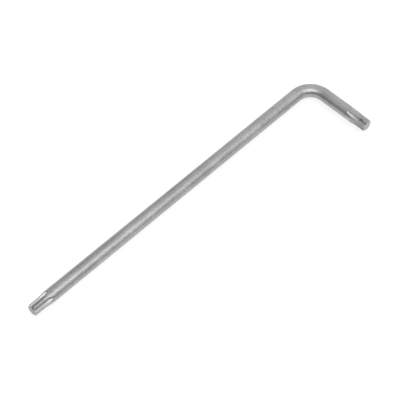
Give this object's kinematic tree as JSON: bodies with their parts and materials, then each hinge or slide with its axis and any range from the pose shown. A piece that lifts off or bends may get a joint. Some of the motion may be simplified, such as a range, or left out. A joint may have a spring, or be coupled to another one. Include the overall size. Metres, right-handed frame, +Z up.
{
  "type": "star key",
  "caption": "Long L-shaped star key: a round satin steel bar bent square, with a six-lobed star drive and bevelled end face on each arm, for turning star-recess screws.",
  "frame": {"origin": "on the surface that the key lies on, under the middle of its bounding box", "axes": "+X along the long arm, from its tip towards the bend; the short arm points along -Y; +Z up, square to the plane of the key"},
  "size_m": [0.172, 0.0376, 0.006],
  "materials": {
    "satin_steel": "satin plated, fine drawn grain"
  },
  "bodies": {
    "root": {"long_star_tip": "satin_steel", "long_shank": "satin_steel", "bend": "satin_steel", "short_shank": "satin_steel", "short_star_tip": "satin_steel"}
  },
  "joints": []
}
